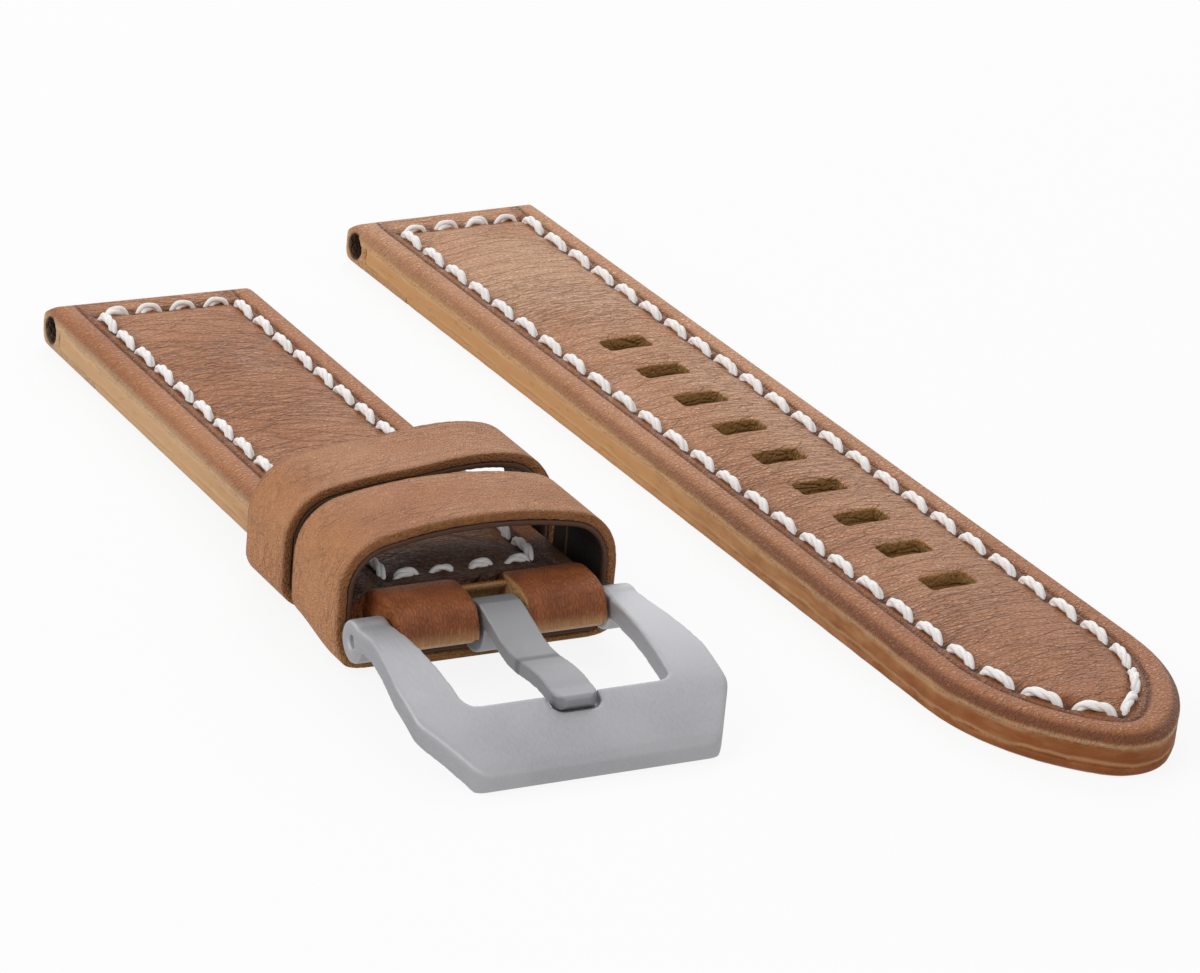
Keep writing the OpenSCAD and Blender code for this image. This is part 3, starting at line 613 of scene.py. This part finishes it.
def sewn(name, place, body, node, tight, loose):
    """One mesh of twisted stitches, each going down into the leather at both ends."""
    rings, sides = 25, 8
    along = np.linspace(0, 1, rings)
    spin = np.linspace(0, 2 * np.pi, sides, endpoint=False)
    chance = np.random.default_rng(7)
    points, faces, fibres = [], [], []
    stitches = [(pair, 3, 0.8, 0.34, 1) for pair in tight]
    stitches += [(pair, 2, 0.4, 0.26, 1) for pair in loose]
    stitches += [(pair, 3, 1.2, 0.1, -1) for pair in tight + loose]
    for (a, b), strands, turns, crest, up_z in stitches:
        run = b - a
        reach = np.hypot(*run)
        u = np.array([*run, 0]) / reach
        side = np.array([-u[1], u[0], 0])
        over_z = np.array([0, 0, up_z])
        fat = {3: 0.28, 2: 0.25}[strands] * (1 if up_z > 0 else 0.7)
        lift = -1.0 + (crest + 1.0) * (1 - np.abs(2 * along - 1) ** (5 if strands == 3 else 3.5))
        travel = (along - 0.5) * (reach - 1.2)
        tilt = np.gradient(lift, travel)
        lean = np.stack([-tilt, np.ones(rings)], 1) / np.hypot(tilt, 1)[:, None]
        above = lean[:, :1] * u + lean[:, 1:] * over_z
        middle = np.array([*(a + b) / 2, margin_t if up_z > 0 else groove_z])
        core = middle + np.outer(travel, u) + np.outer(lift, over_z)
        core = core + np.outer(np.sin(np.pi * along) * chance.normal(0, 0.05), side)
        phase = chance.uniform(0, 2 * np.pi)
        for strand in range(strands):
            twist = 2 * np.pi * (turns * along + strand / strands) + phase
            axis = core + (0.62 if strands == 3 else 0.9) * fat * (
                np.cos(twist)[:, None] * side + np.sin(twist)[:, None] * above
            )
            ring = axis[:, None] + fat * (
                np.cos(spin)[None, :, None] * side + np.sin(spin)[None, :, None] * above[:, None]
            )
            start = len(points) * rings * sides
            points.append(ring.reshape(-1, 3))
            faces += [
                (start + i * sides + j, start + i * sides + (j + 1) % sides,
                 start + (i + 1) * sides + (j + 1) % sides, start + (i + 1) * sides + j)
                for i in range(rings - 1) for j in range(sides)
            ]
            faces += [
                tuple(start + j for j in reversed(range(sides))),
                tuple(start + (rings - 1) * sides + j for j in range(sides)),
            ]
            fibres.append(np.stack([
                np.repeat(along * reach, sides), np.tile(spin * fat, rings) + 5 * strand,
                np.full(rings * sides, phase * 9),
            ], 1))
    mesh = bpy.data.meshes.new(name)
    own = np.concatenate(points)
    mesh.from_pydata(own.tolist(), [], faces)
    mesh.polygons.foreach_set("use_smooth", [True] * len(mesh.polygons))
    piece = bpy.data.objects.new(name, mesh)
    bpy.context.scene.collection.objects.link(piece)
    set_down(
        piece, own, place, body, node, "thread", white_twine, marks=np.concatenate(fibres)
    )


white_twine, wires = finish_named("white_twine", roughness=0.6, specular_ior_level=0.3)
fibre = wires.node("Attribute", {"attribute_name": "marks"}, {}, "Vector")
strands = cloud(fibre, (1.2, 9.0, 1.0), 3, 0.35)
waxed = mixed(step(strands, 0.3, 0.6), (0.84, 0.80, 0.775, 1), (0.97, 0.955, 0.94, 1))
waxed.into("Principled BSDF", "Base Color")
embossed(wires, strands, 0.6, 0.00008)
sewn("short_thread", short_place, "short_half", "short_stitching", short_sides, short_lug_row)
fold_row = row((-seam_x, cross_row_y), (seam_x, cross_row_y), 4)
sewn("fold_thread", short_place, "short_half", "fold_stitching", [], fold_row)


# A keeper is a band of smooth tan leather wrapped round the strap, its ends lapped under
# it, with a rounded stained edge. The first is fixed by the buckle and the second slides.
fixed_start, fixed_w, keeper_gap, sliding_w = 3, 9.4, 1.8, 7.9
sliding_start = fixed_start + fixed_w + keeper_gap


def banded(node, name, start, width, grain, rounds):
    """A band's mesh: the piece, its points, in from its rim, facing left, and its cut face."""
    piece, own = recast(node, name, short_place, grain)
    own = rubbed(piece, own, np.full(len(own), 0.5), rounds)
    normals = facing(piece, own)
    rim = np.minimum(own[:, 1] - start, start + width - own[:, 1])
    return piece, own, rim, ramp(-normals[:, 0], 0.3, 0.9), ramp(np.abs(normals[:, 1]), 0.45, 0.8)


def sagged(own):
    """The fixed keeper's floor hangs a little, and the sliding one's top leans back."""
    x, y, z = own.T
    loose = ramp(1.5 - z, 0, 2.2) * ramp(fixed_start + fixed_w - y, 0, 7)
    thinned = loose * ramp(z, -1.9, -0.1) * ramp(1.0 - z, 0, 1)
    leaning = ramp(x, -3, 9) * ramp(z, 4, 9) * ramp(y, 13, 14)
    own = own - np.outer(loose, (0, 0.7, 0.5)) - np.outer(thinned, (0, 0, 0.6))
    return own + np.outer(leaning, (0, 1.0, 0.7))


keeper_hide, wires = finish_named("keeper_hide", specular_ior_level=0.35)
lay = laid(wires)
rim, leftward, cut_face = told(wires)
pebble = step(cells(lay, (3.2, 3.2, 3.2), 0.0, 0.6), 0.0, 0.35)
speckle = cloud(lay, (3.0, 3.0, 3.0), 3)
wrinkle = 1 - step(cells(lay, (0.28, 1.2, 0.5), 0.0, 1.4), 0.0, 0.06)
wrinkle = wrinkle * step(cloud(lay, (0.12, 0.2, 0.2), 2), 0.38, 0.6)
ripple = (cloud(lay, (0.25, 0.7, 0.3), 3) - 0.5) * 0.7
patchy = step(cloud(lay, (0.1, 0.1, 0.1), 3), 0.35, 0.65)
tone = mixed(patchy, (0.435, 0.178, 0.072, 1), (0.53, 0.252, 0.124, 1))
# Painted light: the sides that face left are lighter and warmer.
tone = mixed(leftward * 0.7, tone, (0.52, 0.228, 0.088, 1))
tone = mixed((1 - pebble) * 0.16, tone, (0.22, 0.075, 0.026, 1))
tone = mixed(step(speckle, 0.5, 0.8) * 0.25, tone, (0.70, 0.42, 0.25, 1))
tone = mixed(wrinkle * 0.12, tone, (0.15, 0.048, 0.018, 1))
tone = mixed((1 - step(rim, 0.15, 0.75)) * 0.5, tone, (0.25, 0.105, 0.045, 1))
stain = mixed(cloud(lay, (1.0, 1.0, 1.0), 4), (0.20, 0.072, 0.020, 1), (0.34, 0.14, 0.045, 1))
raw = mixed(cloud(lay, (0.5, 0.5, 5.0), 3), (0.22, 0.08, 0.02, 1), (0.60, 0.30, 0.09, 1))
stain = mixed(1 - step(height_of(lay), -0.8, 0.2), stain, raw)
mixed(cut_face, tone, stain).into("Principled BSDF", "Base Color")
(0.52 + (1 - pebble) * 0.15).into("Principled BSDF", "Roughness")
relief = pebble * 0.6 - wrinkle * 0.7 + (speckle - 0.5) * 0.7 + ripple
embossed(wires, relief, 1.0, 0.00018)
for node, name, body, start, width in (
    ("fixed_keeper", "fixed_band", "short_half", fixed_start, fixed_w),
    ("sliding_keeper", "sliding_band", "sliding_keeper", sliding_start, sliding_w),
):
    piece, own, rim, leftward, cut_face = banded(node, name, start, width, 0.15, 5)
    set_down(
        piece, sagged(own), short_place, body, node, "keeper_leather", keeper_hide,
        marks=np.stack([rim, leftward, cut_face], 1),
    )

# Each keeper is lined with a thin black leather, glued in and trimmed flush, whose ends
# meet in a seam on its right wall.
wall_x, seam_in, seam_half = 11, 2.6, 0.12
black_skin, wires = finish_named("black_skin", roughness=0.6, specular_ior_level=0.4)
lay = laid(wires)
rim, seam, _ = told(wires)
tone = mixed(cloud(lay, (1.0, 1.0, 1.0), 4), (0.006, 0.0055, 0.005, 1), (0.02, 0.017, 0.014, 1))
tone = mixed(seam, tone, (0.30, 0.15, 0.05, 1))
tone = mixed(1 - step(rim, 0.15, 0.5), tone, (0.06, 0.024, 0.010, 1))
tone.into("Principled BSDF", "Base Color")
embossed(wires, cloud(lay, (3.0, 3.0, 3.0), 3), 0.5, 0.00008)
for node, name, body, start, width in (
    ("fixed_keeper_lining", "fixed_band_lining", "short_half", fixed_start, fixed_w),
    ("sliding_keeper_lining", "sliding_band_lining", "sliding_keeper", sliding_start, sliding_w),
):
    piece, own, rim, _, cut_face = banded(node, name, start, width, 0.12, 3)
    seam_y = start + width - seam_in
    seam = bell(own[:, 1] - seam_y, seam_half) * ramp(own[:, 0], wall_x, wall_x + 0.6)
    set_down(
        piece, sagged(own), short_place, body, node, "keeper_lining", black_skin,
        marks=np.stack([rim, seam, cut_face], 1),
    )


# The long half's top leather is the same hide, punched with nine rounded slots and cut to
# a blunt point. Its edge gets darker towards the tip, and painted shade darkens its face there.
long_place = Matrix.Translation((19.9752, 24.103, 0)) @ Matrix.Rotation(math.radians(3), 4, "Z")
long_end, long_row_y, body_y = 37.5, 33.2, -69.5
side_r, nose_r = 20, 5.6
side_off = side_r - half_w
nose_off = math.sqrt((side_r - nose_r) ** 2 - side_off ** 2)
nose_y, nose_turn = body_y - nose_off, math.atan2(nose_off, side_off)
hole_w, hole_l, hole_r, hole_pitch, hole_count = 4.8, 2.5, 0.9, 7, 9


def long_inset(own):
    """Distance in from the outline, with its two long curves and the round tip."""
    x, y = np.abs(own[:, 0]), own[:, 1]
    curve = side_r - np.hypot(x + side_off, y - body_y)
    tip = nose_r - np.hypot(x, y - nose_y)
    past = np.arctan2(body_y - y, x + side_off) > nose_turn
    return np.where(y > body_y, half_w - x, np.where(past, tip, curve))


def from_slot(own):
    """Each point's place across and along, from the middle of the nearest slot."""
    nearest = np.clip(np.round(-own[:, 1] / hole_pitch), 0, hole_count - 1) * -hole_pitch
    return own[:, :2] - np.stack([own[:, 0] * 0, nearest], 1)


slot_flats = np.array([hole_w / 2 - hole_r, hole_l / 2 - hole_r])


def hole_distance(own):
    """Distance out from the nearest punched slot."""
    q = np.abs(from_slot(own)) - slot_flats
    return np.hypot(*np.maximum(q, 0).T) + np.minimum(q.max(1), 0) - hole_r


def cornered(own):
    """The punch's corners are sharper than a voxel mesh keeps them: pushed out a little."""
    flat = from_slot(own)
    out = np.maximum(np.abs(flat) - slot_flats, 0)
    far = np.maximum(np.hypot(*out.T), 1e-6)
    share = 0.28 * (2 * out.prod(1) / far ** 2) ** 2 * bell(hole_distance(own), 0.7)
    own = own.copy()
    own[:, :2] += np.sign(flat) * out * share[:, None]
    return own


def long_marks(own):
    """For the long half: in from its edge, out from the nearest slot, and how far from the lug end.
    """
    return long_inset(own), hole_distance(own), ramp(long_end - own[:, 1], 0, 150)


seam_side_r, seam_nose_r = side_r - seam_inset, nose_r - seam_inset
seam_straight, seam_sweep = long_row_y - body_y, seam_side_r * nose_turn
seam_len = seam_straight + seam_sweep + seam_nose_r * (math.pi / 2 - nose_turn)
side_count = 25


def seam_point(far):
    """A point of the right-hand seam, by its distance from the lug row."""
    if far < seam_straight:
        return np.array([seam_x, long_row_y - far])
    if far < seam_straight + seam_sweep:
        angle = (far - seam_straight) / seam_side_r
        centre, radius = (-side_off, body_y), seam_side_r
    else:
        angle = nose_turn + (far - seam_straight - seam_sweep) / seam_nose_r
        centre, radius = (0, nose_y), seam_nose_r
    return centre + radius * np.array([math.cos(angle), -math.sin(angle)])


seam_ends = [seam_point(seam_len * i / side_count) for i in range(side_count + 1)]
long_sides = [
    (a * (side, 1), b * (side, 1))
    for side in (-1, 1) for a, b in zip(seam_ends, seam_ends[1:])
]
long_lug_row = row((-seam_x, long_row_y), (seam_x, long_row_y), 4)
long_walls = (0.53, 0.275, 0.115, 1), (0.22, 0.062, 0.014, 1)
long_hide = strap_leather(
    "long_hide", *long_walls,
    (0.52, 0.235, 0.108, 1), (0.60, 0.300, 0.155, 1), slants=0.35, far_painted_shade=0.75,
)
piece, own = pulled_over("long_top_leather", "long_top", long_place, 29)
inset, hole, from_lug = long_marks(own)
stitches = long_sides + long_lug_row
own = cornered(pressed(own, inset, hole, stitches, long_row_y, long_end))
# The tunnel's inside gets painted shade, the last of the three numbers.
set_down(
    piece, own, long_place, "long_half", "long_top_leather", "top_leather", long_hide,
    marks=np.stack([inset, hole, near_ends(own, stitches, 0.75)], 1),
    worn=np.stack([facing(piece, own)[:, 2], from_lug, in_tunnel(own, long_end)], 1),
)

# The long half's padding is the same board as the short half's, cut to this outline and
# punched with the same slots.
long_board = board("long_board", *long_walls)
piece, own = tucked("long_padding", "long_padding_strip", long_place, long_marks)
own = cornered(own)
set_down(
    piece, own, long_place, "long_half", "long_padding", "padding", long_board,
    marks=np.stack(long_marks(own), 1),
)

# The long half's lining is the same calf, cut to this outline and punched. The thread
# goes all the way round, through the three layers.
long_calf = lining_leather("long_calf", *long_walls)
piece, own = laid_under("long_lining", "long_lining_strip", long_place)
set_down(
    piece, own, long_place, "long_half", "long_lining", "strap_lining", long_calf,
    marks=np.stack(long_marks(own), 1),
)
sewn("long_thread", long_place, "long_half", "long_stitching", long_sides, long_lug_row)


# The buckle is a pressed and ground steel frame with two ears round the spring bar. It
# has a satin finish, brushed very finely, and all its edges are tumbled round.
buckle_place = bar_place @ Matrix.Rotation(math.radians(-0.589583), 4, "X")
satin, wires = finish_named("satin_steel", metallic=1.0)
lay = laid(wires)
edge, shaded, _ = told(wires)
brushed = cloud(lay, (5.0, 0.35, 5.0), 4)
clouded = step(cloud(lay, (0.1, 0.1, 0.1), 2), 0.35, 0.65)
tone = mixed(clouded, (0.33, 0.33, 0.345, 1), (0.37, 0.37, 0.385, 1))
tone = mixed(step(brushed, 0.3, 0.7) * 0.3, tone, (0.46, 0.46, 0.475, 1))
# Painted highlight on the rounded edges.
tone = mixed(edge * 0.6, tone, (0.50, 0.50, 0.51, 1))
tone = mixed(shaded * 0.7, tone, (0.11, 0.11, 0.116, 1))
tone.into("Principled BSDF", "Base Color")
(0.58 + brushed * 0.16).into("Principled BSDF", "Roughness")
embossed(wires, brushed, 0.6, 0.00004)


def ground(piece, own, rounds):
    """A steel piece's points with their edges rubbed round, and where they were rubbed."""
    smooth = rubbed(piece, own, np.full(len(own), 0.5), rounds)
    return smooth, ramp(np.linalg.norm(smooth - own, axis=1), 0.03, 0.16)


piece, own = recast("buckle_frame", "satin_frame", buckle_place, 0.13)
own, edge = ground(piece, own, 18)
set_down(
    piece, own, buckle_place, "buckle", "buckle_frame", "satin_steel", satin,
    marks=np.stack([edge, 0 * edge, 0 * edge], 1),
)

# The tongue is a flat steel strip curled round the bar. It comes off the top of the
# curl, dips to a soft bend and rises again before it rests in the notch.
strip = [
    (0.9, 1.6), (0.3, 2.3), (-0.9, 2.4), (-2.2, 2.05), (-3.6, 1.60), (-5.4, 1.0), (-7, 0.72),
    (-8.5, 0.74), (-10.4, 0.98), (-12.2, 1.08), (-13.4, 0.98), (-14.45, 0.81), (-15.9, 0.76),
    (-16.1, 0.57), (-16.1, -0.2), (-15.9, -0.5), (-14.5, -0.5), (-13.2, -0.25), (-12.2, -0.18),
    (-10.4, -0.3), (-8.5, -0.55), (-7, -0.58), (-5.4, -0.28), (-3.9, 0.2), (-2.3, 0.62),
    (-1.3, 0.5), (-0.9, 1.2),
]
tongue_half, curl_r, bore_r, tip_from, tip_r, bend_y = 2, 2.3, 0.95, -15, 1.1, -8.6
turn = np.linspace(0, 2 * np.pi, 72, endpoint=False)
ring = np.stack([np.cos(turn), np.sin(turn)], 1)
points = [(x, y, z) for x in (-tongue_half, tongue_half) for y, z in strip]
points += [
    (x, r * y, r * z)
    for x in (-tongue_half, tongue_half) for r in (curl_r, bore_r) for y, z in ring
]
n, m = len(strip), len(turn)
faces = [tuple(range(n)), tuple(reversed(range(n, 2 * n)))]
faces += [(i, n + i, n + (i + 1) % n, (i + 1) % n) for i in range(n)]
left_out, left_in, right_out, right_in = [2 * n + m * k for k in range(4)]
for i in range(m):
    j = (i + 1) % m
    faces += [
        (left_out + i, left_out + j, right_out + j, right_out + i),
        (left_in + j, left_in + i, right_in + i, right_in + j),
        (left_out + j, left_out + i, left_in + i, left_in + j),
        (right_out + i, right_out + j, right_in + j, right_in + i),
    ]
bent = bpy.data.meshes.new("satin_tongue")
bent.from_pydata(points, [], faces)
piece, own = evened(bpy.data.objects.new("satin_tongue", bent), 0.1)
past_tip = np.clip(tip_from - own[:, 1], 0, tip_r - 0.02)
own[:, 0] *= 1 - 0.5 * (tip_r - np.sqrt(tip_r ** 2 - past_tip ** 2))
own, edge = ground(piece, own, 8)
shaded = np.maximum(bell(own[:, 1] - bend_y, 0.7), 0.45)
set_down(
    piece, own, buckle_place, "tongue", "tongue", "satin_steel", satin,
    marks=np.stack([edge, shaded, 0 * edge], 1),
)

# The spring bar goes through the fold: a tube, two sliding tips and the spring that
# pushes them out into the ears.
bar_steel, wires = finish_named("bar_steel", metallic=1.0)
turned = cloud(wires.node("TexCoord", {}, {}, "Object"), (2500.0, 150.0, 150.0), 2)
mixed(turned, (0.36, 0.37, 0.35, 1), (0.56, 0.57, 0.55, 1)).into("Principled BSDF", "Base Color")
(0.28 + turned * 0.15).into("Principled BSDF", "Roughness")
for node in ("bar_tube", "bar_tip_left", "bar_tip_right", "bar_spring"):
    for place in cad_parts[node].material_slots:
        place.material = bar_steel
